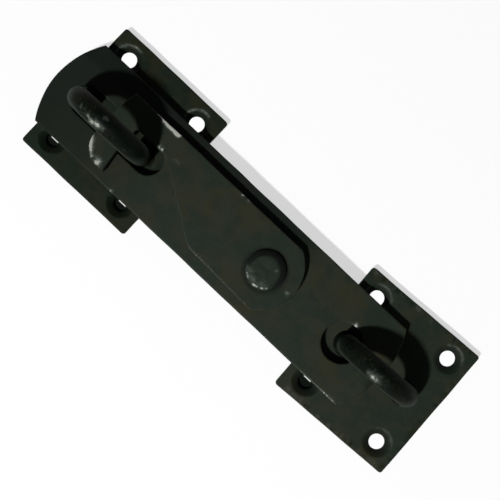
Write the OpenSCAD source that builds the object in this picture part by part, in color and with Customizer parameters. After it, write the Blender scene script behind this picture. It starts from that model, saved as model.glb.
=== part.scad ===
// Swivel hasp: a slotted strap linked to one staple plate, and a swivel hook
// riveted on the strap that locks it over the staple of the other plate.
// X runs along the strap from the hinge plate to the catch plate, Z is up.
// The origin is the centre of the hinge plate's back face.

/* [Plates] */
// Length of each plate, along the strap
plate_len = 56; // [46:1:66]
// Width of each plate, across the strap
plate_wid = 61.5; // [52:0.5:80]
// Thickness of each plate
plate_t = 3; // [2:0.5:6]
// Radius of the plate corners
plate_corner_r = 1; // [0.5:0.5:4]
// Distance between the two plate centres
plate_pitch = 139.7; // [130:0.1:160]
// Angle that the hinge plate and its staple are turned from the strap
hinge_plate_turn = 2.8; // [0:0.1:4]
// Distance between screw holes along the strap
screw_pitch_x = 37.6; // [34:0.1:40]
// Distance between screw holes across the strap
screw_pitch_y = 44; // [40:0.1:46]
// Diameter of the screw holes
screw_hole_d = 6.4; // [4:0.1:7]
// Diameter of the countersinks at the face
screw_sink_d = 11.6; // [8:0.1:12]
// Depth of the countersinks
screw_sink_h = 1.9; // [0.5:0.1:1.9]

/* [Staples] */
// Diameter of the round bar of both staples
bar_d = 8.8; // [6:0.1:9.4]
// Distance between the centrelines of a staple's two legs
leg_pitch = 30; // [28:0.5:32]
// Height of the catch staple's crown centreline over its plate
catch_rise = 28; // [23:0.5:32]
// Height of the hinge staple's crown centreline over its plate
hinge_rise = 20; // [17.5:0.5:24]
// Distance that the hinge staple sits from its plate's centre, towards the catch
hinge_offset = 1; // [0:0.1:2]
// Distance that the catch staple sits from its plate's centre, away from the hinge
catch_offset = 3.7; // [1:0.1:4.5]
// Distance that the catch staple sits to the left of its plate's centre
catch_shift = 2.7; // [0:0.1:3]
// Diameter of the turned-down end of each leg
tenon_d = 6; // [4:0.5:6.5]
// Diameter of the riveted tenon at the back of the plate
tenon_head_d = 9; // [7.5:0.5:11]
// Radius of the fillet round each leg's foot
foot_fillet = 1.4; // [0.3:0.1:1.6]

/* [Strap] */
// Width of the strap
strap_w = 41; // [36:0.5:50]
// Thickness of the strap
strap_t = 4.2; // [3.6:0.1:4.8]
// Distance that the strap's holes and rivet sit to the left of the plates' centres
line_shift = 1.7; // [0:0.1:2]
// Distance that the strap's edges sit to the right of its holes and rivet
edge_shift = 0.9; // [0:0.1:1.5]
// Reach of the strap's free tip past the catch plate's centre
tip_reach = 34.3; // [32:0.1:42]
// Reach of the strap's hinge end past the hinge staple's centre
tail_reach = 3.2; // [2.9:0.1:3.6]
// Radius of the free tip
tip_r = 36.5; // [30:0.5:60]
// Radius of the hinge end
tail_r = 39; // [30:0.5:60]
// Height of the strap's swing line over the plate's face
swing_rise = 2.7; // [2.5:0.1:3]
// Width of the slot over the catch staple
slot_w = 12.8; // [11:0.1:16]
// Gap between the catch staple's inner leg and the slot's inner end
slot_gap_in = 5.9; // [3:0.1:7]
// Gap between the catch staple's outer leg and the slot's outer end
slot_gap_out = 1.6; // [1.4:0.1:4]
// Diameter of the hole round the hinge staple's leg
link_hole_d = 16.6; // [16:0.1:18]
// Play between the hinge staple's leg and the near side of that hole
link_gap = 1.3; // [0.6:0.1:1.8]

/* [Swivel hook] */
// Width of the hook's body
hook_w = 31.4; // [26:0.2:34]
// Distance that the hook's left edge leans in by the time it reaches the shoulder
hook_taper = 1.4; // [0:0.1:3]
// Thickness of the hook
hook_t = 3.8; // [3:0.1:4.6]
// Place of the rivet from the hinge plate's centre
rivet_x = 60.5; // [58:0.5:66]
// Radius of the hook's end behind the rivet
heel_r = 17.8; // [16:0.1:30]
// Reach of the hook behind the rivet's centre
heel_reach = 14.7; // [13:0.1:18]
// Width of the tongue, along the strap
tongue_w = 11; // [9:0.1:12]
// Play between the tongue and the catch staple's outer leg
tongue_gap = 7.6; // [5:0.1:9]
// Play between the neck's inner edge and the staple's bar
neck_gap = 2.3; // [1:0.1:4]
// Radius of the tongue tip's outer corner
tip_round = 9; // [3:0.5:9.5]
// Place where the hook's left edge turns in, from the rivet's centre
shoulder_x = 28.5; // [20:0.5:30]
// Place where the slanted edge meets the neck, from the rivet's centre
throat_x = 59; // [54:0.5:61]
// Radius that rounds the shoulder and the throat
shoulder_r = 9; // [4:0.5:12]

/* [Rivet] */
// Diameter of the rivet's shank
shank_d = 8; // [6:0.5:10]
// Diameter of the domed head
head_d = 16.4; // [14:0.2:18]
// Height of the domed head
head_h = 3.4; // [2.4:0.1:4]
// Height of the head's upright rim, under its dome
head_rim_h = 0.8; // [0.4:0.1:2]
// Diameter of the hammered flat on top of the head
head_flat_d = 11.6; // [8:0.2:13]
// Diameter of the hammered tail under the strap
tail_head_d = 12; // [11:0.5:16]
// Height of the hammered tail
tail_head_h = 1.6; // [1:0.1:1.8]

/* [Clearances] */
// Air between flat faces that lie on each other
lay_gap = 0.2; // [0.1:0.05:0.3]
// Air between the plate and the strap's hinge end as it swings
plate_play = 0.1; // [0.05:0.05:0.15]
// Radial play of the hook on the rivet's shank
swivel_play = 0.05; // [0.02:0.01:0.1]

/* [Hidden] */
$fn = 96;
cut = 1;
iron = [0.13, 0.14, 0.13];

strap_z = plate_t + lay_gap;
hook_z = strap_z + strap_t + lay_gap;
head_z = hook_z + hook_t + lay_gap;

leg_out = leg_pitch / 2 + bar_d / 2;
leg_in = leg_pitch / 2 - bar_d / 2;
catch_x = plate_pitch + catch_offset;
tip_x = plate_pitch + tip_reach;

swing_z = plate_t + swing_rise;
tail_swing_r = swing_rise - plate_play;
link_hole_x = hinge_offset + leg_in - link_gap + link_hole_d / 2;
slot_from = catch_x - leg_out - slot_gap_in;
slot_to = catch_x + leg_out + slot_gap_out;

tongue_out = catch_x + leg_in - tongue_gap - rivet_x;
tongue_in = tongue_out - tongue_w;
neck_y = catch_shift - line_shift - bar_d / 2 - neck_gap;
tenon_sink = (tenon_head_d - tenon_d) / 2;

// Rectangle centred on the origin, with true round corners
module round_rect(length, width, r) {
    square([length - 2 * r, width], center = true);
    square([length, width - 2 * r], center = true);
    for (x = [-1, 1], y = [-1, 1])
        translate([x * (length / 2 - r), y * (width / 2 - r)])
            circle(r);
}

// One countersunk screw hole, from the plate's face downwards
module screw_hole() {
    translate([0, 0, -cut])
        cylinder(d = screw_hole_d, h = plate_t + 2 * cut);
    translate([0, 0, plate_t - screw_sink_h])
        cylinder(d1 = screw_hole_d, d2 = screw_sink_d, h = screw_sink_h);
    translate([0, 0, plate_t])
        cylinder(d = screw_sink_d, h = cut);
}

// Shape that a leg's tenon fills in the plate: a shank and a riveted cone
module tenon() {
    cylinder(d = tenon_d, h = plate_t);
    cylinder(d1 = tenon_head_d, d2 = tenon_d, h = tenon_sink);
}

// Plate with four screw holes; staple_x and staple_y are where its staple stands
module plate(staple_x, staple_y) {
    difference() {
        linear_extrude(plate_t)
            round_rect(plate_len, plate_wid, plate_corner_r);
        for (x = [-1, 1], y = [-1, 1])
            translate([x * screw_pitch_x / 2, y * screw_pitch_y / 2, 0])
                screw_hole();
        for (x = [-1, 1])
            translate([staple_x + x * leg_pitch / 2, staple_y, 0])
                tenon();
    }
}

// Concave fillet that runs round a leg where it stands on the plate
module foot() {
    difference() {
        cylinder(r = bar_d / 2 + foot_fillet, h = foot_fillet);
        translate([0, 0, foot_fillet])
            rotate_extrude()
                translate([bar_d / 2 + foot_fillet, 0])
                    circle(foot_fillet);
    }
}

// Round-bar arch that stands on its plate, its legs riveted through it
module staple(rise) {
    leg_h = rise - leg_pitch / 2;
    for (x = [-1, 1])
        translate([x * leg_pitch / 2, 0, 0]) {
            tenon();
            translate([0, 0, plate_t])
                cylinder(d = bar_d, h = leg_h);
            translate([0, 0, plate_t])
                foot();
        }
    translate([0, 0, plate_t + leg_h])
        rotate([90, 0, 0])
            rotate_extrude(angle = 180)
                translate([leg_pitch / 2, 0])
                    circle(d = bar_d);
}

module hinge_plate() {
    color(iron)
        rotate([0, 0, hinge_plate_turn])
            plate(hinge_offset, 0);
}

module hinge_staple() {
    color(iron)
        rotate([0, 0, hinge_plate_turn])
            translate([hinge_offset, 0, 0])
                staple(hinge_rise);
}

module catch_plate() {
    color(iron)
        translate([plate_pitch, 0, 0])
            plate(catch_offset, catch_shift);
}

module catch_staple() {
    color(iron)
        translate([catch_x, catch_shift, 0])
            staple(catch_rise);
}

// Disc of radius r whose rim passes the origin, and a wide bar behind it
module round_end(r) {
    translate([r, 0])
        circle(r, $fn = 240);
    translate([r, -r])
        square([tip_x, 2 * r]);
}

// Flat outline of the strap: a bar whose two ends are shallow arcs
module strap_outline() {
    tail_x = hinge_offset - tail_reach;
    translate([0, -edge_shift])
        intersection() {
            translate([tail_x, -strap_w / 2])
                square([tip_x - tail_x, strap_w]);
            translate([tail_x, 0])
                round_end(tail_r);
            translate([tip_x, 0])
                rotate(180)
                    round_end(tip_r);
        }
}

// Slot over the catch staple, with round ends
module slot() {
    for (x = [slot_from + slot_w / 2, slot_to - slot_w / 2])
        translate([x, 0])
            circle(d = slot_w);
    translate([slot_from + slot_w / 2, -slot_w / 2])
        square([slot_to - slot_from - slot_w, slot_w]);
}

// All that may be strap: what lies past the swing line, and a roll about it
module swing_room() {
    translate([hinge_offset, -strap_w, 0])
        cube([tip_x, 2 * strap_w, strap_z + strap_t + cut]);
    translate([hinge_offset, 0, swing_z])
        rotate([90, 0, 0])
            cylinder(r = tail_swing_r, h = 2 * strap_w, center = true);
}

module strap() {
    color(iron)
        translate([0, line_shift, 0])
            intersection() {
                translate([0, 0, strap_z])
                    linear_extrude(strap_t)
                        difference() {
                            strap_outline();
                            slot();
                            translate([link_hole_x, 0])
                                circle(d = link_hole_d);
                            translate([rivet_x, 0])
                                circle(d = shank_d);
                        }
                swing_room();
            }
}

// Points of an arc about c, from angle a to angle b
function arc(c, r, a, b, steps = 12) =
    [for (i = [0:steps]) c + r * [cos(a + (b - a) * i / steps), sin(a + (b - a) * i / steps)]];

// Outline of the hook about the rivet, with its tongue towards +X and +Y
module hook_outline() {
    half = hook_w / 2;
    top = half - hook_taper;
    lean = atan2(hook_taper, shoulder_x + heel_reach);
    slant = atan2(top - neck_y, throat_x - shoulder_x);
    corner = shoulder_r * tan((slant - lean) / 2);
    dip = shoulder_r * tan(slant / 2);
    difference() {
        intersection() {
            union() {
                translate([heel_r - heel_reach, 0])
                    circle(heel_r);
                translate([heel_r - heel_reach, -half])
                    square([tongue_out, hook_w]);
            }
            translate([-heel_reach, -half])
                square([heel_reach + tongue_out, hook_w]);
            circle(tongue_out, $fn = 360);
        }
        // Throat: all that lies over the leaning and slanted edges, up to the tongue
        difference() {
            polygon(concat(
                [[-heel_reach, half + cut], [-heel_reach, half]],
                arc([shoulder_x - corner * cos(lean) - shoulder_r * sin(lean),
                     top + corner * sin(lean) - shoulder_r * cos(lean)],
                    shoulder_r, 90 - lean, 90 - slant),
                arc([throat_x + dip, neck_y + shoulder_r], shoulder_r, 270 - slant, 270),
                [[tongue_out, neck_y], [tongue_out, half + cut]]));
            difference() {
                circle(tongue_out + cut, $fn = 360);
                circle(tongue_in, $fn = 360);
            }
        }
        // Round the outer corner of the tongue's tip
        tip_corner_cut();
    }
}

// What the rounded outer corner takes off the tongue's tip
module tip_corner_cut() {
    half = hook_w / 2;
    corner_x = sqrt(pow(tongue_out - tip_round, 2) - pow(half - tip_round, 2));
    corner_a = atan2(half - tip_round, corner_x);
    difference() {
        polygon([[corner_x, half - tip_round],
                 [corner_x, half + cut],
                 [tongue_out + cut, half + cut],
                 (tongue_out + cut) * [cos(corner_a), sin(corner_a)]]);
        translate([corner_x, half - tip_round])
            circle(tip_round);
    }
}

module swivel_hook() {
    color(iron)
        translate([rivet_x, line_shift, hook_z])
            linear_extrude(hook_t)
                difference() {
                    hook_outline();
                    circle(shank_d / 2 + swivel_play);
                }
}

// Domed head, shank, and a low hammered tail under the strap
module pivot_rivet() {
    rim_r = head_d / 2;
    flat_r = head_flat_d / 2;
    // The dome is a ball that meets the rim and the flat; drop is its centre's depth
    drop = ((pow(rim_r, 2) - pow(flat_r, 2)) / (head_h - head_rim_h)
            - (head_h + head_rim_h)) / 2;
    color(iron)
        translate([rivet_x, line_shift, 0]) {
            translate([0, 0, strap_z])
                cylinder(d = shank_d, h = head_z - strap_z);
            intersection() {
                translate([0, 0, head_z])
                    cylinder(d = head_d, h = head_h);
                translate([0, 0, head_z - drop])
                    sphere(sqrt(pow(rim_r, 2) + pow(head_rim_h + drop, 2)));
            }
            translate([0, 0, strap_z - tail_head_h])
                cylinder(d1 = tail_head_d - tail_head_h, d2 = tail_head_d, h = tail_head_h);
        }
}

hinge_plate();
hinge_staple();
catch_plate();
catch_staple();
strap();
swivel_hook();
pivot_rivet();
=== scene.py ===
import math

import bmesh
import bpy
import numpy as np
from bpy.props import FloatProperty, FloatVectorProperty, PointerProperty
from mathutils import Matrix, Vector, noise
from mathutils.geometry import delaunay_2d_cdt


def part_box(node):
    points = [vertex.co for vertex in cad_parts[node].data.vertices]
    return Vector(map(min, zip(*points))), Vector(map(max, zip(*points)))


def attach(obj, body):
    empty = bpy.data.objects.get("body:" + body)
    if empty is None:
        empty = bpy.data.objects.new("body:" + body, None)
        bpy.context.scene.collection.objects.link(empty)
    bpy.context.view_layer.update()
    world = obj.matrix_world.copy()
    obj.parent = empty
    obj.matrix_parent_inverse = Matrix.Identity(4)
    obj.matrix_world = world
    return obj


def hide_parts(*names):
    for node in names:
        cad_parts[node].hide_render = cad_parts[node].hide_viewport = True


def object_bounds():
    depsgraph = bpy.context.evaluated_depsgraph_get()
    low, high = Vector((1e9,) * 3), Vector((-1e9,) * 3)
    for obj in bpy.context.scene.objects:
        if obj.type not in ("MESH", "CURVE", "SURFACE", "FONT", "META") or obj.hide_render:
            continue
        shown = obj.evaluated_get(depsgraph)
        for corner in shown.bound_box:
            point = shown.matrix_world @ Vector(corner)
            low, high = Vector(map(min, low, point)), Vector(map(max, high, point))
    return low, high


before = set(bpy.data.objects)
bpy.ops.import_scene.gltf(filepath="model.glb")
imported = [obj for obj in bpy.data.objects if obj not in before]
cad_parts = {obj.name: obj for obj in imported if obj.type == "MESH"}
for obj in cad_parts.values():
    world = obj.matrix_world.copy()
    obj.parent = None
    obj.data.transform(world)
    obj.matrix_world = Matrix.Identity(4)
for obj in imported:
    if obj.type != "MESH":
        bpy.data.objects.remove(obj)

bl_info = {
    "name": "Swivel hasp",
    "version": (1, 0, 0),
    "blender": (4, 5, 0),
    "location": "3D View > Sidebar > Hasp",
    "description": "Dresses a forged link hasp in worn black paint",
    "category": "Object",
}

CAD_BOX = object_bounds()
MM = 0.001
IMAGE_PX = 500
SENSOR_MM = 36.0

# Sizes that the dressed pieces share with the CAD part, in mm and degrees
PLATE_THICK = 3.0
PLATE_PITCH = 139.7
HINGE_TURN = 2.8
HOLE_PLACES = ((18.8, 22), (18.8, -22), (-18.8, 22), (-18.8, -22))
HOLE_RADIUS = 3.2
SINK_RADIUS = 5.8
SINK_DEPTH = 1.9
TENON_RADIUS = 3.0
TENON_CONE = 1.5
STAPLE_BAR = 8.8
STAPLE_HALF_SPAN = 15.0
HINGE_STAPLE_SHIFT = 1.0
HINGE_STAPLE_RISE = 20.0
CATCH_STAPLE_PLACE = (143.4, 2.7)
CATCH_STAPLE_RISE = 28.0
SWING_X = 1.0
SWING_Z = 5.7
HOOK_PIVOT = (60.5, 1.7)

# How finely the meshes are made
WELD = 1e-6
CORNER = math.radians(25)
CIRCLE_POINTS = 40
EDGE_STEPS = 4
FOOT_STEPS = 7
ARCH_STEPS = 48
BAR_SIDES = 40
RIVET_SIDES = 72
DOME_STEPS = 8


# Sizes, colours and lights that a user would change

class HaspShape(bpy.types.PropertyGroup):
    """Edge and forging sizes."""
    edge: FloatProperty(
        name="Edge rounding", description="Radius worn on the upper edges",
        default=0.00045, min=0.0001, max=0.001, unit="LENGTH")
    back_edge: FloatProperty(
        name="Back edge rounding", description="Radius on the lower edges",
        default=0.00025, min=0.00005, max=0.0008, unit="LENGTH")
    wave: FloatProperty(
        name="Hammer waves", description="Depth of the low waves that the hammer left",
        default=0.00007, min=0.0, max=0.0002, unit="LENGTH")
    wander: FloatProperty(
        name="Edge wander", description="How far the forged edges stray from true",
        default=0.00015, min=0.0, max=0.0004, unit="LENGTH")
    step: FloatProperty(
        name="Outline step", description="Distance between points on an outline",
        default=0.0008, min=0.0004, max=0.002, unit="LENGTH")
    grid: FloatProperty(
        name="Face step", description="Distance between points on a flat face",
        default=0.0018, min=0.001, max=0.004, unit="LENGTH")


class HaspFinish(bpy.types.PropertyGroup):
    """Colours of the worn black paint and of the iron under it, and of the painted shade and
    painted sheen.
    """
    paint: FloatVectorProperty(
        name="Paint", description="Green-black paint",
        default=(0.0046, 0.0104, 0.0046), size=3, subtype="COLOR", min=0, max=1)
    paint_warm: FloatVectorProperty(
        name="Brownish paint", description="Paint where it is thin and brownish",
        default=(0.0148, 0.0140, 0.0030), size=3, subtype="COLOR", min=0, max=1)
    paint_pale: FloatVectorProperty(
        name="Dusty paint", description="Paint where dust and handling dulled it",
        default=(0.0094, 0.0162, 0.0092), size=3, subtype="COLOR", min=0, max=1)
    # Painted shade: a dark colour mixed in at recesses, at the staples' feet, round the rivet,
    # beside the hook and towards the catch end.
    painted_shade: FloatVectorProperty(
        name="Soil", description="Grease and dust in the corners",
        default=(0.0024, 0.0046, 0.0028), size=3, subtype="COLOR", min=0, max=1)
    # This colour is also the painted sheen along the staples' outlines.
    rubbed_and_highlight: FloatVectorProperty(
        name="Rubbed paint", description="Halo of thin paint round bare iron",
        default=(0.041, 0.050, 0.040), size=3, subtype="COLOR", min=0, max=1)
    bare: FloatVectorProperty(
        name="Bare iron", description="Iron where the paint is gone",
        default=(0.36, 0.37, 0.33), size=3, subtype="COLOR", min=0, max=1)
    roughness: FloatProperty(
        name="Paint roughness", description="Roughness of the satin paint",
        default=0.62, min=0.1, max=1.0, subtype="FACTOR")
    bump: FloatProperty(
        name="Paint texture depth", description="Depth of the fine texture in the paint",
        default=0.00002, min=0.0, max=0.0002, unit="LENGTH")


class HaspStage(bpy.types.PropertyGroup):
    """Floor, lights and camera."""
    key_power: FloatProperty(
        name="Key light", description="Power of the soft lamp at the left",
        default=110.0, min=0.0, max=1000.0, unit="POWER")
    key_place: FloatVectorProperty(
        name="Key place", description="Place of the soft lamp",
        default=(0.140, 1.875, 2.500), size=3, subtype="XYZ", unit="LENGTH")
    key_size: FloatProperty(
        name="Key size", description="Side of the soft lamp",
        default=0.22, min=0.01, max=1.0, unit="LENGTH")
    fill: FloatProperty(
        name="Fill", description="Strength of the light from all round",
        default=0.10, min=0.0, max=2.0)
    camera_place: FloatVectorProperty(
        name="Camera place", description="Place of the camera",
        default=(0.0706, -0.0012, 0.3520), size=3, subtype="XYZ", unit="LENGTH")
    camera_tilt: FloatVectorProperty(
        name="Camera tilt", description="Small turn from looking straight down",
        default=(0.003, 0.002, -0.001), size=3, subtype="EULER", unit="ROTATION")
    focal_px: FloatProperty(
        name="Focal length", description="Focal length in pixels of a 500 px picture",
        default=869.3, min=100, max=5000)


def shape():
    return bpy.context.scene.hasp_shape


def finish_values():
    return bpy.context.scene.hasp_finish


# Meshes

def ring_normals(loop):
    """Miter directions to the left of a closed loop, into the iron, held back at corners."""
    ahead = np.roll(loop, -1, axis=0) - loop
    ahead /= np.linalg.norm(ahead, axis=1)[:, None]
    behind = np.roll(ahead, 1, axis=0)
    both = ahead + behind
    both /= np.linalg.norm(both, axis=1)[:, None]
    left = np.stack([-both[:, 1], both[:, 0]], axis=1)
    bend = np.clip((both * ahead).sum(axis=1), 0.6, 1.0)
    return left / bend[:, None]


def inset_ring(loop, normals, inset):
    """The loop moved into the iron, with points that would cross at a corner drawn together."""
    ring = loop + normals * inset
    ahead = np.roll(loop, -1, axis=0) - loop
    joined = np.zeros(len(loop), bool)
    moved = ring.copy()
    for _ in range(8):
        crossed = ((np.roll(moved, -1, axis=0) - moved) * ahead).sum(axis=1) < -1e-12
        if not (crossed & ~joined).any():
            break
        joined |= crossed
        start = int(np.argmin(joined))
        run = []
        for k in range(len(loop) + 1):
            i = (start + k) % len(loop)
            run.append(i)
            if not joined[i]:
                moved[run] = ring[run].mean(axis=0)
                run = []
    return moved


def area(loop):
    x, y = loop[:, 0], loop[:, 1]
    return 0.5 * float((x * np.roll(y, -1) - np.roll(x, -1) * y).sum())


def even_steps(loop, step):
    """The same loop with evenly spaced points, as a true circle or with its corners kept."""
    centre = loop.mean(axis=0)
    radii = np.linalg.norm(loop - centre, axis=1)
    is_round = radii.max() - radii.min() < 0.03 * MM
    if is_round:
        count = max(CIRCLE_POINTS, int(2 * math.pi * radii.mean() / step))
        angles = np.arange(count) * 2 * math.pi / count
        return centre + radii.max() * np.stack([np.cos(angles), np.sin(angles)], axis=1)
    ahead = np.roll(loop, -1, axis=0) - loop
    heading = np.arctan2(ahead[:, 1], ahead[:, 0])
    turn = np.abs((heading - np.roll(heading, 1) + math.pi) % (2 * math.pi) - math.pi)
    corners = [i for i in range(len(loop)) if turn[i] > CORNER] or [0]
    points = []
    for n, first in enumerate(corners):
        last = corners[(n + 1) % len(corners)]
        count = (last - first) % len(loop) or len(loop)
        span = loop[[(first + i) % len(loop) for i in range(count + 1)]]
        along = np.concatenate([[0], np.cumsum(np.linalg.norm(np.diff(span, axis=0), axis=1))])
        parts = max(1, int(round(along[-1] / step)))
        at = np.arange(parts) * along[-1] / parts
        points.append(np.stack([np.interp(at, along, span[:, k]) for k in (0, 1)], axis=1))
    return np.concatenate(points)


def outlines(node, z):
    """Loops where a CAD node is cut at height z, the outer one first.

    The edges stay in their order and each loop starts at its largest x, so that every run gives
    the same points.
    """
    bm = bmesh.new()
    bm.from_mesh(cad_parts[node].data)
    bmesh.ops.remove_doubles(bm, verts=bm.verts, dist=WELD)
    cut = bmesh.ops.bisect_plane(
        bm, geom=bm.verts[:] + bm.edges[:] + bm.faces[:], dist=1e-7,
        plane_co=(0, 0, z), plane_no=(0, 0, 1))
    edges = dict.fromkeys(e for e in cut["geom_cut"] if isinstance(e, bmesh.types.BMEdge))
    loops = []
    while edges:
        edge, _ = edges.popitem()
        start, here = edge.verts
        loop = [start.co.xy.copy(), here.co.xy.copy()]
        while here != start:
            edge = next((e for e in here.link_edges if e in edges), None)
            if edge is None:
                raise RuntimeError(f"open outline on {node}")
            edges.pop(edge)
            here = edge.other_vert(here)
            if here != start:
                loop.append(here.co.xy.copy())
        loop = np.array(loop)
        loops.append(np.roll(loop, -int(loop[:, 0].argmax()), axis=0))
    bm.free()
    loops = [even_steps(loop, shape().step) for loop in loops]
    loops.sort(key=lambda loop: -abs(area(loop)))
    ways = [1] + [-1] * (len(loops) - 1)
    return [loop if area(loop) * way > 0 else loop[::-1] for loop, way in zip(loops, ways)]


def inside(points, loops):
    """Which points lie in the outer loop and in no hole."""
    odd = np.zeros(len(points), bool)
    for loop in loops:
        other = np.roll(loop, -1, axis=0)
        for (x0, y0), (x1, y1) in zip(loop, other):
            if y0 == y1:
                continue
            crosses = (points[:, 1] > min(y0, y1)) & (points[:, 1] <= max(y0, y1))
            where = x0 + (points[:, 1] - y0) * (x1 - x0) / (y1 - y0)
            odd ^= crosses & (points[:, 0] < where)
    return odd


def fill_cap(loops, step):
    """Extra points inside the loops, and triangles over loop points and extra points."""
    rim = np.concatenate(loops)
    low, high = rim.min(axis=0), rim.max(axis=0)
    row_gap = step * 0.87
    rim_gap = 0.6 * step
    xs = np.arange(low[0], high[0], step)
    ys = np.arange(low[1], high[1], row_gap)
    grid = np.array([(x + (j % 2) * step / 2, y) for j, y in enumerate(ys) for x in xs])
    grid = grid[inside(grid, loops)]
    near = np.array([((rim - p) ** 2).sum(axis=1).min() for p in grid])
    grid = grid[near > rim_gap ** 2]
    points = np.concatenate([rim, grid])
    edges = []
    first = 0
    for loop in loops:
        edges += [(first + i, first + (i + 1) % len(loop)) for i in range(len(loop))]
        first += len(loop)
    per_metre = 1000.0
    found = delaunay_2d_cdt([Vector(p * per_metre) for p in points], edges, [], 0, 1e-7)
    found_faces, found_origins = found[2], found[3]
    origin = [o[0] if o else -1 for o in found_origins]
    if -1 in origin:
        raise RuntimeError("the cap's outlines cross")
    tris = np.array([[origin[i] for i in face] for face in found_faces])
    kept = tris[inside(points[tris].mean(axis=1), loops)]
    return grid, kept


def ring_faces(rows, around):
    """Faces between rows of points round a piece, and a cap at each end."""
    faces = [(r * around + i, r * around + (i + 1) % around,
              (r + 1) * around + (i + 1) % around, (r + 1) * around + i)
             for r in range(rows - 1) for i in range(around)]
    return faces + [tuple(range(around)), tuple(range((rows - 1) * around, rows * around))]


def mesh_object(name, verts, faces, wear, painted_shade):
    """A smooth mesh with wear and painted shade values at each vertex and its normals outwards.
    """
    mesh = bpy.data.meshes.new(name)
    mesh.from_pydata([tuple(v) for v in verts], [], [tuple(int(i) for i in f) for f in faces])
    for key, values in (("wear", wear), ("painted_shade", painted_shade)):
        mesh.attributes.new(key, "FLOAT", "POINT").data.foreach_set(
            "value", np.asarray(values, np.float32))
    bm = bmesh.new()
    bm.from_mesh(mesh)
    bmesh.ops.remove_doubles(bm, verts=bm.verts, dist=WELD)
    bmesh.ops.dissolve_degenerate(bm, edges=bm.edges, dist=WELD)
    bmesh.ops.recalc_face_normals(bm, faces=bm.faces)
    bm.to_mesh(mesh)
    bm.free()
    mesh.shade_smooth()
    mesh.update()
    made = bpy.data.objects.new(name, mesh)
    bpy.context.scene.collection.objects.link(made)
    return made


def noise_at(points, wave, seed):
    """Smooth noise, about -1 to 1, at points, with a wavelength in metres."""
    shift = Vector((seed * 3.7, seed * 1.3, seed * 2.1))
    return np.array([noise.noise(Vector(p) / wave + shift) for p in points])


def rounding(radius, top, sign):
    """Rows round an edge from its face to its side, each an inset, a height and a wear."""
    rows = []
    for i in range(EDGE_STEPS + 1):
        a = 0.5 * math.pi * i / EDGE_STEPS
        rows.append((radius * (1 - math.sin(a)), top - sign * radius * (1 - math.cos(a)),
                     math.sin(2 * a)))
    return rows


def side_rows(base, top, crisp=1.0):
    """Rows of a plain side: upper edge, wall and lower edge."""
    up, down = shape().edge * crisp, shape().back_edge
    hold = 0.5 * MM
    rows = [(up + hold, top, 0.0)] + rounding(up, top, 1)
    rows += [(0.0, base + down + (top - up - base - down) * f, 0.1) for f in (0.66, 0.33)]
    rows += rounding(down, base, -1)[::-1] + [(down + hold, base, 0.0)]
    return rows


def slab(name, node, level, rows_for, marks, seed, painted_shade_at, edge_wear=1.0, after=None):
    """A flat forged piece on the CAD node's outline at a level.

    rows_for gives the rows of a loop, painted_shade_at the painted shade at points in mm, and
    after reshapes the points in metres.
    """
    loops = outlines(node, level)
    verts, faces, wear = [], [], []
    tops, bottoms, top_ids, bottom_ids = [], [], [], []
    for loop in loops:
        normals = ring_normals(loop)
        rows = rows_for(loop)
        count = len(loop)
        for r, (inset, z, worn) in enumerate(rows):
            ring = inset_ring(loop, normals, inset)
            first = len(verts)
            verts += [(x, y, z) for x, y in ring]
            wear += [worn] * count
            if r:
                faces += [(first - count + i, first - count + (i + 1) % count,
                           first + (i + 1) % count, first + i) for i in range(count)]
            else:
                tops.append(ring)
                top_ids += range(first, first + count)
        bottoms.append(ring)
        bottom_ids += range(first, first + count)
    top_z, bottom_z = rows[0][1], rows[-1][1]
    for rings, ids, z in ((tops, top_ids, top_z), (bottoms, bottom_ids, bottom_z)):
        grid, tris = fill_cap(rings, shape().grid)
        lookup = np.array(ids + list(range(len(verts), len(verts) + len(grid))))
        verts += [(x, y, z) for x, y in grid]
        wear += [0.0] * len(grid)
        faces += [tuple(lookup[t]) for t in tris]
    co = np.array(verts, float)
    flat = co * (1, 1, 0)
    high = np.clip((co[:, 2] - bottom_z) / (top_z - bottom_z), 0, 1)
    broad, tight, bend = 13 * MM, 5 * MM, 11 * MM
    wave = noise_at(flat, broad, seed) + 0.5 * noise_at(flat, tight, seed + 1)
    stray = shape().wander
    co[:, 0] += stray * noise_at(flat, bend, seed + 2)
    co[:, 1] += stray * noise_at(flat, bend, seed + 3)
    co[:, 2] += shape().wave * wave * high
    if after:
        after(co)
    worn = add_marks(co, np.array(wear) * edge_share(co, seed) * edge_wear, marks)
    return mesh_object(name, co, faces, worn, painted_shade_at(co / MM))


def edge_share(co, seed):
    """How worn the edges are along their length: mostly little, here and there more."""
    return np.clip(0.30 + 0.32 * noise_at(co, 9 * MM, seed + 5), 0.02, 0.62)


def smooth(value, low, high):
    """0 below low, 1 above high, smooth between."""
    t = np.clip((value - low) / (high - low), 0, 1)
    return t * t * (3 - 2 * t)


def add_marks(co, wear, marks):
    """Raise the wear round each mark, given as x, y, z, radius and amount in mm."""
    for x, y, z, radius, amount in marks:
        away = np.linalg.norm(co / MM - (x, y, z), axis=1) / radius
        wear = np.maximum(wear, amount * np.exp(-away ** 2))
    return wear


def line_marks(start, end, radius, amount, count):
    """A row of marks from one point to another."""
    start, end = np.array(start, float), np.array(end, float)
    return [(*(start + (end - start) * i / (count - 1)), radius, amount) for i in range(count)]


def countersink_highlight_marks(x, y, middle, amount):
    """Painted highlight: marks of worn paint along an arc of a countersink's rim, about the
    angle middle in degrees, where the far wall faces the lamp.
    """
    reach, z, radius = 5.7, 2.7, 1.0
    spread = 55
    angles = np.radians(np.linspace(middle - spread, middle + spread, 11))
    return [(x + reach * math.cos(a), y + reach * math.sin(a), z, radius, amount)
            for a in angles]


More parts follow.
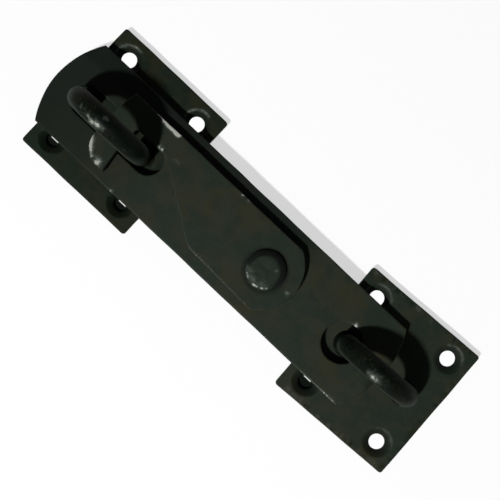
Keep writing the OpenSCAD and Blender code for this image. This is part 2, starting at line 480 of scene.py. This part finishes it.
def swept(name, path, tangents, radii, marks, seed, side):
    """A round bar along a path in a vertical plane; side is across that plane.

    Above the plate it has low lumps, and its painted shade is deepest at the feet, where the bar
    meets the plate.
    """
    verts = []
    for point, tangent, radius in zip(path, tangents, radii):
        up = np.cross(tangent, side)
        for i in range(BAR_SIDES):
            a = 2 * math.pi * i / BAR_SIDES
            verts.append(point + radius * (math.cos(a) * side + math.sin(a) * up))
    co = np.array(verts)
    faces = ring_faces(len(path), BAR_SIDES)
    out = co - np.repeat(np.array(path), BAR_SIDES, axis=0)
    out /= np.linalg.norm(out, axis=1)[:, None]
    broad, tight = 7 * MM, 2.5 * MM
    lump = 0.12 * MM * noise_at(co, broad, seed) + 0.05 * MM * noise_at(co, tight, seed + 1)
    above = np.clip((co[:, 2] / MM - PLATE_THICK - 0.2) / 2, 0, 1)
    co += out * (lump * above)[:, None]
    wear = 0.12 + 0.12 * noise_at(co, 8 * MM, seed + 4)
    # Painted shade, deepest at the feet and gone 3.6 mm above the plate.
    painted_shade = np.clip(0.3 - (co[:, 2] / MM - PLATE_THICK) / 12, 0, 1)
    return mesh_object(name, co, faces, add_marks(co, np.clip(wear, 0, 1), marks), painted_shade)


def turned(name, profile, centre, flat, marks, seed):
    """A lathe shape about a vertical line, with a round head that has a flat of a radius.

    profile is rows of radius, height and wear, in mm like flat; centre is in metres.
    """
    verts, wear = [], []
    for radius, z, worn in profile:
        for i in range(RIVET_SIDES):
            a = 2 * math.pi * i / RIVET_SIDES
            verts.append((centre[0] + radius * MM * math.cos(a),
                          centre[1] + radius * MM * math.sin(a), z * MM))
        wear += [worn] * RIVET_SIDES
    faces = ring_faces(len(profile), RIVET_SIDES)
    co = np.array(verts)
    top = np.clip((co[:, 2] / MM - profile[-1][1] + 3) / 2, 0, 1)
    broad, tight = 3.2 * MM, 1.5 * MM
    lumps = noise_at(co, broad, seed) + 0.5 * noise_at(co, tight, seed + 1)
    co[:, 2] += 0.09 * MM * lumps * top
    out = co - np.array([centre[0], centre[1], 0])
    out[:, 2] = 0
    co += out * (0.03 * noise_at(co, 5 * MM, seed + 2) * top)[:, None]
    reach = np.linalg.norm(out[:, :2], axis=1) / MM
    # Worn iron shows only on the side toward the lamp, a painted highlight there, and the
    # painted shade on the head's flank starts nearer the flat on the side away from the lamp.
    lit = np.clip(out[:, 1] / (reach * MM + 1e-9), 0, 1)
    share = np.clip(0.5 + 0.5 * noise_at(co, 4 * MM, seed + 3), 0, 1) * smooth(lit, 0.1, 0.7)
    painted_shade = smooth(reach, flat - 0.7 + 2.6 * lit, flat + 0.5 + 2.8 * lit)
    return mesh_object(name, co, faces, add_marks(co, np.array(wear) * share, marks), painted_shade)


# Materials

class Link:
    """A socket on which Python's arithmetic adds Math nodes."""

    def __init__(self, shade, socket):
        self.shade = shade
        self.socket = socket

    def __add__(self, other):
        return self.shade.math("ADD", self, other)

    def __sub__(self, other):
        return self.shade.math("SUBTRACT", self, other)

    def __rsub__(self, other):
        return self.shade.math("SUBTRACT", other, self)

    def __mul__(self, other):
        return self.shade.math("MULTIPLY", self, other)

    __radd__ = __add__
    __rmul__ = __mul__


class Shade:
    """The nodes of one material or world."""

    def __init__(self, owner):
        self.owner = owner
        owner.use_nodes = True
        self.tree = owner.node_tree
        self.tree.nodes.clear()

    def node(self, kind, settings=None, values=None):
        """Add a node: its settings first, then the values or links of its sockets."""
        made = self.tree.nodes.new(kind)
        for key, value in (settings or {}).items():
            setattr(made, key, value)
        for key, value in (values or {}).items():
            if isinstance(value, Link):
                self.tree.links.new(value.socket, made.inputs[key])
            else:
                made.inputs[key].default_value = value
        return made

    def out(self, kind, output, settings=None, values=None):
        return Link(self, self.node(kind, settings, values).outputs[output])

    def math(self, operation, a, b):
        return self.out("ShaderNodeMath", 0, {"operation": operation}, {0: a, 1: b})

    def size_of(self, value):
        return self.math("ABSOLUTE", value, 0.0)

    def step(self, value, low, high):
        """0 below low, 1 above high, smooth between."""
        return self.out("ShaderNodeMapRange", 0,
                        {"interpolation_type": "SMOOTHSTEP", "clamp": True},
                        {0: value, 1: low, 2: high, 3: 0.0, 4: 1.0})

    def step_mm(self, value, low, high):
        """The same for a value in metres, with both limits in mm."""
        return self.step(value, low * MM, high * MM)

    def mix(self, factor, a, b):
        return self.out("ShaderNodeMix", 2, {"data_type": "RGBA"}, {0: factor, 6: a, 7: b})

    def in_view(self):
        """Whether a ray comes from the camera or through glass, and whether off a gloss."""
        rays = self.node("ShaderNodeLightPath").outputs
        direct = self.math("MAXIMUM", Link(self, rays["Is Camera Ray"]),
                           Link(self, rays["Is Transmission Ray"]))
        return direct, Link(self, rays["Is Glossy Ray"])

    def speckle(self, where, size, detail=3.0, roughness=0.55):
        """Noise from 0 to 1 with features of about the given size in mm."""
        return self.out("ShaderNodeTexNoise", 0, {"noise_dimensions": "3D"},
                        {"Vector": where, "Scale": 1 / (size * MM), "Detail": detail,
                         "Roughness": roughness})


def worn_paint(name, shift, tone=1.0, warm=0.5, gloss=0.20, rim=0.0):
    """Satin black paint on iron, mottled, worn thin and chipped where the wear is high.

    shift moves the pattern, tone scales the paint's colours, warm is the share of brown and
    gloss the specular level. Round bars have a rim: a painted sheen in the rubbed_and_highlight
    colour where the surface turns away.
    """
    look = finish_values()
    shade = Shade(bpy.data.materials.new(name))
    spot = shade.out("ShaderNodeTexCoord", "Object")
    where = shade.out("ShaderNodeVectorMath", 0, {"operation": "ADD"},
                      {0: spot, 1: (shift, 0.7 * shift, 0.3 * shift)})
    wear = shade.out("ShaderNodeAttribute", "Fac", {"attribute_name": "wear"})
    broad = shade.speckle(where, 16, 2.0)
    patch = shade.speckle(where, 5, 3.0)
    grain = shade.speckle(where, 1.1, 3.0, 0.6)
    fine = shade.speckle(where, 0.45, 2.0)

    def toned(colour):
        return (*[min(1.0, c * tone) for c in colour], 1.0)

    brown = shade.step(broad * 0.6 + patch * 0.4, 0.55 - 0.2 * warm, 0.70 - 0.2 * warm)
    pale = shade.step(patch * 0.55 + grain * 0.45, 0.42, 0.62)
    paint = shade.mix(brown, toned(look.paint), toned(look.paint_warm))
    paint = shade.mix(pale * 0.75, paint, toned(look.paint_pale))
    # Painted shade: a dark colour where the painted_shade attribute is high, with rougher paint
    # there.
    painted_shade = shade.out("ShaderNodeAttribute", "Fac", {"attribute_name": "painted_shade"})
    paint = shade.mix(painted_shade, paint, (*look.painted_shade, 1.0))
    # Painted sheen: paler paint along the outline, where the surface turns away from the camera.
    if rim:
        facing = shade.out("ShaderNodeLayerWeight", "Facing", None, {"Blend": 0.5})
        paint = shade.mix(shade.step(facing, 0.46, 0.95) * rim, paint, (*look.rubbed_and_highlight, 1.0))
    ragged = wear + (patch - 0.5) * 0.30 + (grain - 0.5) * 0.55 + (fine - 0.5) * 0.35
    thin = shade.step(ragged, 0.15, 0.60)
    bare = shade.step(ragged, 0.50, 0.84)
    colour = shade.mix(thin, paint, (*look.rubbed_and_highlight, 1.0))
    colour = shade.mix(bare, colour, (*look.bare, 1.0))
    mottle = (patch - 0.5) * 0.22 + (fine - 0.5) * 0.16
    rough = look.roughness + mottle + painted_shade * 0.28 - bare * 0.08
    height = grain * 0.6 + fine * 0.4 - bare * 0.5
    bump = shade.out("ShaderNodeBump", 0, None,
                     {"Strength": 0.8, "Distance": look.bump, "Height": height})
    surface = shade.out("ShaderNodeBsdfPrincipled", 0, None, {
        "Base Color": colour, "Roughness": rough, "Metallic": bare * 0.3,
        "Normal": bump, "Specular IOR Level": gloss})
    shade.node("ShaderNodeOutputMaterial", None, {"Surface": surface})
    return shade.owner


def dress(piece, material, body, slot, *nodes):
    """Give a piece its paint and its body, and hide the CAD nodes that it replaces; slot is not
    used.
    """
    piece.data.materials.append(material)
    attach(piece, body)
    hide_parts(*nodes)
    return piece


# Pieces

def plate_rows(loop):
    """Rows for a plate's outline, a countersunk hole or a tenon's hole, told by its radius."""
    top = PLATE_THICK * MM
    reach = 0.5 * (loop[:, 0].max() - loop[:, 0].min()) / MM
    if abs(reach - HOLE_RADIUS) < 0.1:
        flare = (SINK_RADIUS - HOLE_RADIUS) * MM
        lip = 0.35 * MM
        low = top - SINK_DEPTH * MM
        rows = [(flare + lip + 0.5 * MM, top, 0.0), (flare + lip, top, 0.1),
                (flare + lip * 0.5, top - 0.04 * MM, 0.8), (flare, top - 0.14 * MM, 1.0),
                (flare * 0.9, top - 0.32 * MM, 0.4)]
        rows += [(flare * f, low + (top - low) * f, 0.05) for f in (0.6, 0.3)]
        rows += [(0.05 * MM, low + 0.05 * MM, 0.1), (0.0, low - 0.1 * MM, 0.3),
                 (0.0, 0.3 * MM, 0.1), (0.05 * MM, 0.08 * MM, 0.0), (0.2 * MM, 0.0, 0.0)]
        return rows
    if abs(reach - TENON_RADIUS) < 0.1:
        cone = TENON_CONE * MM
        hold = 0.3 * MM
        return [(hold, top, 0.0), (0.0, top, 0.0), (0.0, cone, 0.0), (cone, 0.0, 0.0),
                (cone + hold, 0.0, 0.0)]
    return side_rows(0.0, top)


def staple_path(x, y, turn, rise):
    """Centreline, tangents and radii of a staple in metres, and the direction across it."""
    half = STAPLE_HALF_SPAN
    base = PLATE_THICK
    leg = rise - half
    fillet = 1.4
    radius = STAPLE_BAR / 2
    cone = TENON_RADIUS + TENON_CONE
    bevel = 0.02
    rows = [(0.0, cone), (bevel, cone - bevel), (TENON_CONE, TENON_RADIUS),
            (base, TENON_RADIUS), (base, radius + fillet)]
    for i in range(1, FOOT_STEPS + 1):
        climb = math.sin(0.5 * math.pi * i / FOOT_STEPS)
        rows.append((base + fillet * climb, radius + fillet * (1 - climb ** 0.6)))
    rows += [(base + fillet + (leg - fillet) * f, radius) for f in (0.35, 0.7, 1.0)]
    points = [(-half, z, 0.0, 1.0, r) for z, r in rows]
    for i in range(1, ARCH_STEPS):
        a = math.pi * i / ARCH_STEPS
        points.append((-half * math.cos(a), base + leg + half * math.sin(a),
                       math.sin(a), math.cos(a), radius))
    points += [(half, z, 0.0, -1.0, r) for z, r in rows[::-1]]
    along = np.array([math.cos(turn), math.sin(turn), 0.0])
    up = np.array([0.0, 0.0, 1.0])
    origin = np.array([x, y, 0.0])
    path = [(origin + along * u + up * z) * MM for u, z, *_ in points]
    tangents = [along * du + up * dz for _, _, du, dz, _ in points]
    side = np.array([-math.sin(turn), math.cos(turn), 0.0])
    return path, tangents, [r * MM for *_, r in points], side


def plate_painted_shade(at):
    """Painted shade: the countersinks and the sides are darker than the top."""
    return smooth(-at[:, 2], -2.8, -2.0) * 0.7


class HASP_OT_plates(bpy.types.Operator):
    """Make both screw plates"""
    bl_idname = "hasp.plates"
    bl_label = "Plates"

    def execute(self, context):
        cut_level = 0.5 * MM
        # The catch plate's paint has a lower tone than the hinge plate's, a painted shade at the
        # catch end.
        for name, node, body, seed, x, turn, tone, gloss, highlight_side, rubbed_and_highlight, marks in (
            ("forged_hinge_plate", "hinge_plate", "hinge_side", 2.0, 0.0, HINGE_TURN,
             0.95, 0.20, -102, 0.42, [(21.5, 1.2, 3, 2.0, 0.25)]),
            ("forged_catch_plate", "catch_plate", "catch_side", 9.0, PLATE_PITCH, 0.0,
             0.78, 0.12, -48, 0.58, [(121.9, 2.7, 3, 1.2, 0.8)]),
        ):
            for u, v in HOLE_PLACES:
                at = Matrix.Rotation(math.radians(turn), 2) @ Vector((u, v))
                # Painted highlight: marks on each countersink's rim, on the side where the far
                # wall faces the lamp.
                marks += countersink_highlight_marks(x + at.x, at.y, highlight_side, rubbed_and_highlight if v < 0 else 0.34)
            piece = slab(name, node, cut_level, plate_rows, marks, seed, plate_painted_shade, 0.5)
            dress(piece, worn_paint("paint_" + node, seed * 0.1, tone, gloss=gloss), body,
                  "plate_iron", node)
        return {"FINISHED"}


class HASP_OT_staples(bpy.types.Operator):
    """Make both staples"""
    bl_idname = "hasp.staples"
    bl_label = "Staples"

    def execute(self, context):
        turn = math.radians(HINGE_TURN)
        # The crown marks are worn paint on the side toward the lamp, and a painted highlight
        # there too. The row at the catch staple's inner foot is a painted highlight where the
        # foot catches the lamp.
        hinge = [(4.0, 3.0, 26.2, 2.2, 0.76), (6.0, 2.6, 25.6, 1.7, 0.62),
                 (2.2, 2.9, 26.2, 1.9, 0.6), (3.6, 1.6, 27.2, 3.2, 0.38),
                 (20.3, 3.4, 10, 2.5, 0.5), (-17.9, 2.0, 3.6, 3.0, 0.7)]
        catch = [(142.6, 5.0, 34.2, 1.9, 0.85), (140.6, 4.6, 34.0, 1.5, 0.78),
                 (145.0, 5.4, 33.8, 1.6, 0.85), (141.6, 1.0, 35.2, 1.4, 0.6),
                 (151.4, 3.8, 32.6, 1.2, 0.8), (147.2, 4.7, 34.0, 1.2, 0.7),
                 (143.0, 3.4, 35.0, 3.6, 0.26)]
        catch += [(122.5 + 0.1 * d * d, 2.7 + d, 3.4, 0.6, 0.9)
                  for d in (-2.4, -1.6, -0.8, 0, 0.8, 1.6, 2.4)]
        hinge_place = (HINGE_STAPLE_SHIFT * math.cos(turn), HINGE_STAPLE_SHIFT * math.sin(turn))
        for name, node, body, seed, place, angle, rise, marks in (
            ("forged_hinge_staple", "hinge_staple", "hinge_side", 4.0, hinge_place, turn,
             HINGE_STAPLE_RISE, hinge),
            ("forged_catch_staple", "catch_staple", "catch_side", 6.0, CATCH_STAPLE_PLACE, 0.0,
             CATCH_STAPLE_RISE, catch),
        ):
            path, tangents, radii, side = staple_path(*place, angle, rise)
            piece = swept(name, path, tangents, radii, marks, seed, side)
            # The staples have the paint at a low tone, a darker copy that is painted shade on
            # the round bars, with a painted sheen along their outlines.
            dress(piece, worn_paint("paint_" + node, seed * 0.1, 0.26, gloss=0.05, rim=0.6),
                  body, "staple_iron", node)
        return {"FINISHED"}


def strap_painted_shade(at):
    """Painted shade: the strap is darker towards its free end and at the slot, and in a strip
    beside the hook where the hook's shadow falls.
    """
    x, y = at[:, 0], at[:, 1]
    end = smooth(x, 100, 172) * 0.75
    side = smooth(-y, 10, 15) * smooth(x, 44, 60) * 0.80
    return np.clip(end + side, 0, 1)


def hook_painted_shade(at):
    """Painted shade: a dark ring round the rivet's head, standing in for its shadow, and a
    darker tongue.
    """
    reach = np.hypot(at[:, 0] - HOOK_PIVOT[0], at[:, 1] - HOOK_PIVOT[1])
    ring = (1 - smooth(reach, 8.3, 10.4)) * 0.75
    return np.clip(ring + smooth(at[:, 0], 85, 140) * 0.22, 0, 1)


def roll_tail(co):
    """Keep the strap's hinge end inside its roll about the swing line."""
    x, z = SWING_X * MM, SWING_Z * MM
    reach = 2.6 * MM
    past = np.clip(x - co[:, 0], 0, reach * 0.999)
    room = np.sqrt(reach ** 2 - past ** 2)
    rolled = np.clip(co[:, 2], z - room, z + room)
    co[:, 2] = np.where(co[:, 0] < x, rolled, co[:, 2])


class HASP_OT_strap(bpy.types.Operator):
    """Make the slotted strap"""
    bl_idname = "hasp.strap"
    bl_label = "Strap"

    def execute(self, context):
        low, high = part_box("strap")
        marks = line_marks((22.6, 21.3, 7.3), (4.9, 21.0, 7.3), 0.8, 0.58, 22)
        marks += [(126.7, 21.0, 7.3, 1.2, 0.7), (19.3, -7.0, 7.2, 1.2, 0.9)]
        cut_level = 5.7 * MM
        piece = slab("forged_strap", "strap", cut_level,
                     lambda loop: side_rows(low.z, high.z), marks, 12.0, strap_painted_shade, 0.8,
                     roll_tail)
        dress(piece, worn_paint("paint_strap", 0.9, warm=0.6), "strap", "strap_iron", "strap")
        return {"FINISHED"}


class HASP_OT_hook(bpy.types.Operator):
    """Make the swivel hook"""
    bl_idname = "hasp.hook"
    bl_label = "Swivel hook"

    def execute(self, context):
        low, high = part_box("swivel_hook")
        marks = line_marks((88.5, 15.8, 11.3), (60, 17.4, 11.3), 1.0, 0.5, 20)
        marks += [(57.8, 17.1, 11.3, 1.2, 0.40), (87.2, -14.0, 11.3, 1.2, 0.8),
                  (84.1, -13.9, 11.3, 1.0, 0.7), (115.0, -5.6, 11.3, 1.0, 0.7),
                  (48.5, 2.4, 11.3, 1.2, 0.7), (137.5, 16.0, 11.3, 1.9, 1.0),
                  (123.9, -5.3, 11.3, 1.1, 1.0), (122.6, -4.9, 11.3, 0.9, 0.9)]
        marks += line_marks((145.9, 9.7, 11.2), (144.6, 12.6, 11.2), 0.8, 0.95, 6)
        marks += line_marks((144.6, 12.6, 11.2), (141.0, 16.0, 11.2), 0.8, 0.95, 7)
        marks += line_marks((133.0, -14.4, 11.2), (121.0, -14.2, 11.2), 0.9, 1.1, 16)
        marks += line_marks((129.5, -13.9, 11.4), (121.6, -13.3, 11.4), 1.0, 1.3, 12)
        cut_level = 9.5 * MM
        piece = slab("forged_swivel_hook", "swivel_hook", cut_level,
                     lambda loop: side_rows(low.z, high.z, 0.55), marks, 15.0, hook_painted_shade)
        dress(piece, worn_paint("paint_hook", 1.7, warm=0.6), "hook", "hook_iron",
              "swivel_hook")
        return {"FINISHED"}


class HASP_OT_rivet(bpy.types.Operator):
    """Make the pivot rivet"""
    bl_idname = "hasp.rivet"
    bl_label = "Pivot rivet"

    def execute(self, context):
        low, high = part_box("pivot_rivet")
        centre = ((low.x + high.x) / 2, (low.y + high.y) / 2)
        bottom, top = low.z / MM, high.z / MM
        strap_face = 3.2
        under = 11.6
        shank, tail, head, flat = 4.0, 6.0, 8.2, 5.8
        rim = 0.8
        drop = ((head ** 2 - flat ** 2) / (top - under - rim) - (top - under + rim)) / 2
        ball = math.hypot(head, rim + drop)
        profile = [(0.4, bottom, 0), (3.0, bottom, 0), (tail - 1.0, bottom, 0),
                   (tail - 0.75, bottom + 0.2, 0), (tail, strap_face - 0.1, 0),
                   (tail, strap_face, 0), (shank, strap_face, 0), (shank, under, 0),
                   (head - 0.3, under, 0), (head, under + 0.25, 0), (head, under + 0.55, 0.1)]
        for i in range(DOME_STEPS + 1):
            r = head - 0.03 - (head - flat - 0.2) * i / DOME_STEPS
            z = under - drop + math.sqrt(ball ** 2 - r ** 2)
            profile.append((r, z, 0.3 + 0.3 * math.sin(math.pi * i / DOME_STEPS)))
        profile += [(flat - 0.1, top - 0.10, 0.3), (flat - 0.5, top - 0.03, 0.1)]
        profile += [(flat * f, top, 0) for f in (0.82, 0.66, 0.5, 0.34, 0.18, 0.05)]
        x, y = centre[0] / MM, centre[1] / MM
        marks = [(x + u, y + v, top - down, radius, amount) for u, v, down, radius, amount in (
            (-0.5, 7.2, 1.2, 1.0, 1.0), (-1.6, 6.9, 1.2, 0.9, 0.9), (3.3, 6.3, 1.2, 1.1, 0.75),
            (4.6, 5.6, 1.2, 1.0, 0.7), (-3.6, 6.0, 1.2, 1.2, 0.75), (-5.0, 5.0, 1.2, 1.0, 0.7),
            (1.5, 5.6, 0.3, 2.6, 0.42), (4.2, 4.2, 0.3, 2.2, 0.38), (-2.6, 5.0, 0.3, 2.2, 0.36),
            (-3.1, -2.9, 0.0, 0.7, 0.8))]
        piece = turned("forged_pivot_rivet", profile, centre, flat, marks, 21.0)
        dress(piece, worn_paint("paint_rivet", 2.3, warm=0.4), "strap", "rivet_iron",
              "pivot_rivet")
        return {"FINISHED"}


# Floor, lights and camera

def floor_under(shade, name, hole):
    """Where the floor is under a plate that lies on it, and where a painted shadow darkens it in
    a hole.

    The painted shadow is in the holes beside the strap, at y over 18 mm and x over 0. A spot in
    each, hole mm from the plate's middle and at y under 22 mm, stays bright.
    """
    spot = shade.out("ShaderNodeTexCoord", "Object",
                     {"object": bpy.data.objects.get("forged_" + name)})
    place = shade.node("ShaderNodeSeparateXYZ", None, {0: spot})
    x, y, z = (Link(shade, place.outputs[i]) for i in range(3))
    low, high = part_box(name)
    along = shade.size_of(x - (low.x + high.x) / 2)
    lying = 1.0 - shade.step_mm(shade.size_of(z), 0.3, 1.0)
    under = lying * (1.0 - shade.step_mm(along, 23.5, 24.0))
    under = under * (1.0 - shade.step_mm(shade.size_of(y), 26.5, 27.0))
    beside = shade.step_mm(shade.size_of(along - hole * MM), 0.9, 2.1)
    dark = shade.math("MAXIMUM", shade.step_mm(y, 21.6, 22.3), beside)
    # Painted shadow: the mask of the dark floor in the holes beside the strap.
    dim = under * dark * shade.step_mm(y, 18.0, 19.0) * shade.step_mm(x, 0.0, 1.0)
    return under, dim


def floor_material(middle):
    """Pale floor, white to the camera and to gloss, that keeps the shadow near the hasp.

    Under a plate that lies on it, it is all white, but a painted shadow darkens it in the holes
    beside the strap.
    """
    shade = Shade(bpy.data.materials.new("pale_floor"))
    seen = shade.math("MAXIMUM", *shade.in_view())
    spot = shade.out("ShaderNodeTexCoord", "Object")
    away = shade.out("ShaderNodeVectorMath", "Value", {"operation": "DISTANCE"},
                     {0: spot, 1: (middle.x, middle.y, 0.0)})
    far = shade.step_mm(away, 260, 600)
    under_hinge, painted_shadow_hinge = floor_under(shade, "hinge_plate", 17.7)
    under_catch, painted_shadow_catch = floor_under(shade, "catch_plate", 18.8)
    clear = shade.math("MAXIMUM", shade.math("MAXIMUM", far, under_hinge), under_catch)
    # Painted shadow: a dark matt colour on the floor seen through the holes beside the strap.
    dim = painted_shadow_hinge + painted_shadow_catch
    shadow = 0.38
    shown = seen * (clear * shadow + (1.0 - shadow)) * (1.0 - dim)
    tint = shade.mix(dim, (0.95, 0.95, 0.95, 1), (0.006, 0.008, 0.006, 1))
    matt = shade.out("ShaderNodeBsdfDiffuse", 0, None, {"Color": tint})
    white = shade.out("ShaderNodeEmission", 0, None, {"Color": (1, 1, 1, 1), "Strength": 1.0})
    both = shade.out("ShaderNodeMixShader", 0, None, {0: shown, 1: matt, 2: white})
    shade.node("ShaderNodeOutputMaterial", None, {"Surface": both})
    return shade.owner


def studio_world(fill):
    """Even dim light, with a white backdrop to the camera, and to gloss near the horizon."""
    shade = Shade(bpy.data.worlds.new("studio"))
    direct, gloss = shade.in_view()
    way = shade.node("ShaderNodeSeparateXYZ", None,
                     {0: shade.out("ShaderNodeTexCoord", "Generated")})
    horizon = 1.0 - shade.step(Link(shade, way.outputs[2]), 0.15, 0.35)
    dim = shade.out("ShaderNodeBackground", 0, None,
                    {"Color": (0.95, 0.98, 1.0, 1), "Strength": fill})
    white = shade.out("ShaderNodeBackground", 0, None, {"Color": (1, 1, 1, 1), "Strength": 1.0})
    both = shade.out("ShaderNodeMixShader", 0, None,
                     {0: shade.math("MAXIMUM", direct, gloss * horizon), 1: dim, 2: white})
    shade.node("ShaderNodeOutputWorld", None, {"Surface": both})
    return shade.owner


def rotation_of(vector):
    """The turn about a vector by its length in radians."""
    vector = Vector(vector)
    return Matrix.Rotation(vector.length, 3, vector) if vector.length else Matrix.Identity(3)


class HASP_OT_stage(bpy.types.Operator):
    """Make the floor, the lights and the camera"""
    bl_idname = "hasp.stage"
    bl_label = "Stage"

    def execute(self, context):
        scene = context.scene
        stage = scene.hasp_stage
        centre = (Vector(CAD_BOX[0]) + Vector(CAD_BOX[1])) / 2
        mesh = bpy.data.meshes.new("floor")
        half_side = 3.0
        below = -0.02 * MM
        mesh.from_pydata([(centre.x + a * half_side, centre.y + b * half_side, below)
                          for a, b in ((-1, -1), (1, -1), (1, 1), (-1, 1))], [], [(0, 1, 2, 3)])
        floor = bpy.data.objects.new("floor", mesh)
        mesh.materials.append(floor_material(centre))
        scene.collection.objects.link(floor)
        lamp = bpy.data.lights.new("key", "AREA")
        lamp.shape = "SQUARE"
        lamp.size = stage.key_size
        lamp.energy = stage.key_power
        key = bpy.data.objects.new("key", lamp)
        key.location = stage.key_place
        key.rotation_euler = (centre - key.location).to_track_quat("-Z", "Y").to_euler()
        scene.collection.objects.link(key)
        scene.world = studio_world(stage.fill)
        scene.view_settings.view_transform = "Standard"

        # Straight down, with the strap 43.5 degrees from the picture's rows
        down = Matrix(((-0.7254, -0.6883, 0), (-0.6883, 0.7254, 0), (0, 0, -1)))
        rows = rotation_of(stage.camera_tilt) @ down
        turn = Matrix((rows[0], -rows[1], -rows[2])).transposed()
        lens = bpy.data.cameras.new("camera")
        lens.sensor_width = SENSOR_MM
        lens.lens = stage.focal_px * SENSOR_MM / IMAGE_PX
        lens.clip_start = 0.01
        camera = bpy.data.objects.new("camera", lens)
        camera.matrix_world = Matrix.Translation(Vector(stage.camera_place)) @ turn.to_4x4()
        scene.collection.objects.link(camera)
        scene.camera = camera
        return {"FINISHED"}


class HASP_PT_panel(bpy.types.Panel):
    """Sizes, colours and makers of the hasp"""
    bl_idname = "HASP_PT_panel"
    bl_label = "Swivel hasp"
    bl_space_type = "VIEW_3D"
    bl_region_type = "UI"
    bl_category = "Hasp"

    def draw(self, context):
        layout = self.layout
        for group in (context.scene.hasp_shape, context.scene.hasp_finish,
                      context.scene.hasp_stage):
            box = layout.box()
            for name in group.bl_rna.properties.keys():
                if name not in ("rna_type", "name"):
                    box.prop(group, name)
        for maker in MAKERS:
            layout.operator(maker.bl_idname)


GROUPS = {"hasp_shape": HaspShape, "hasp_finish": HaspFinish, "hasp_stage": HaspStage}
MAKERS = (HASP_OT_plates, HASP_OT_staples, HASP_OT_strap, HASP_OT_hook, HASP_OT_rivet,
          HASP_OT_stage)
CLASSES = (*GROUPS.values(), *MAKERS, HASP_PT_panel)


def register():
    for cls in CLASSES:
        bpy.utils.register_class(cls)
    for name, cls in GROUPS.items():
        setattr(bpy.types.Scene, name, PointerProperty(type=cls))


def unregister():
    for name in GROUPS:
        delattr(bpy.types.Scene, name)
    for cls in reversed(CLASSES):
        bpy.utils.unregister_class(cls)


def main():
    register()
    for maker in MAKERS:
        group, name = maker.bl_idname.split(".")
        getattr(getattr(bpy.ops, group), name)()
    bpy.context.view_layer.update()


if __name__ == "__main__":
    main()
